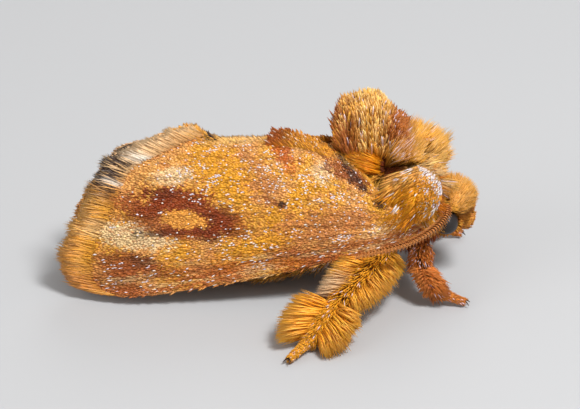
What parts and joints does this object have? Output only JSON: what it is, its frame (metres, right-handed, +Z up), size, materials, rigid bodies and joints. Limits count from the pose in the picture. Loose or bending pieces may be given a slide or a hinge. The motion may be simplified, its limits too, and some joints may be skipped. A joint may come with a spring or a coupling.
{
  "type": "spun glass slug moth model",
  "caption": "Life-size still model of a spun glass slug moth at rest: roofed wings, tall thorax crest, comb feelers, tufted legs.",
  "frame": {"origin": "middle of the overall box on the floor plane, under the wings", "axes": "+X towards the head, +Z up, +Y towards the animal's left"},
  "size_m": [0.0116, 0.0106, 0.0057],
  "materials": {
    "body_coat": "soft hair-like scales",
    "forewing_scales": "flat glossy scales",
    "hindwing_scales": "flat dull scales",
    "antenna": "satin",
    "brown_legs": "scales and tufts",
    "orange_legs": "scales and tufts",
    "eye": "faceted gloss"
  },
  "bodies": {
    "root": {"abdomen": "body_coat", "antenna_left": "antenna", "antenna_right": "antenna", "eye_left": "eye", "eye_right": "eye", "foreleg_femur_left": "brown_legs", "foreleg_femur_right": "brown_legs", "foreleg_tarsus_left": "brown_legs", "foreleg_tarsus_right": "brown_legs", "foreleg_tibia_left": "brown_legs", "foreleg_tibia_right": "brown_legs", "forewing_left": "forewing_scales", "forewing_right": "forewing_scales", "head": "body_coat", "hindleg_femur_left": "orange_legs", "hindleg_femur_right": "orange_legs", "hindleg_tarsus_left": "orange_legs", "hindleg_tarsus_right": "orange_legs", "hindleg_tibia_left": "orange_legs", "hindleg_tibia_right": "orange_legs", "hindwing_left": "hindwing_scales", "hindwing_right": "hindwing_scales", "midleg_femur_left": "orange_legs", "midleg_femur_right": "orange_legs", "midleg_tarsus_left": "orange_legs", "midleg_tarsus_right": "orange_legs", "midleg_tibia_left": "orange_legs", "midleg_tibia_right": "orange_legs", "palp_left": "brown_legs", "palp_right": "brown_legs", "tegula_left": "body_coat", "tegula_right": "body_coat", "thorax": "body_coat"}
  },
  "joints": []
}
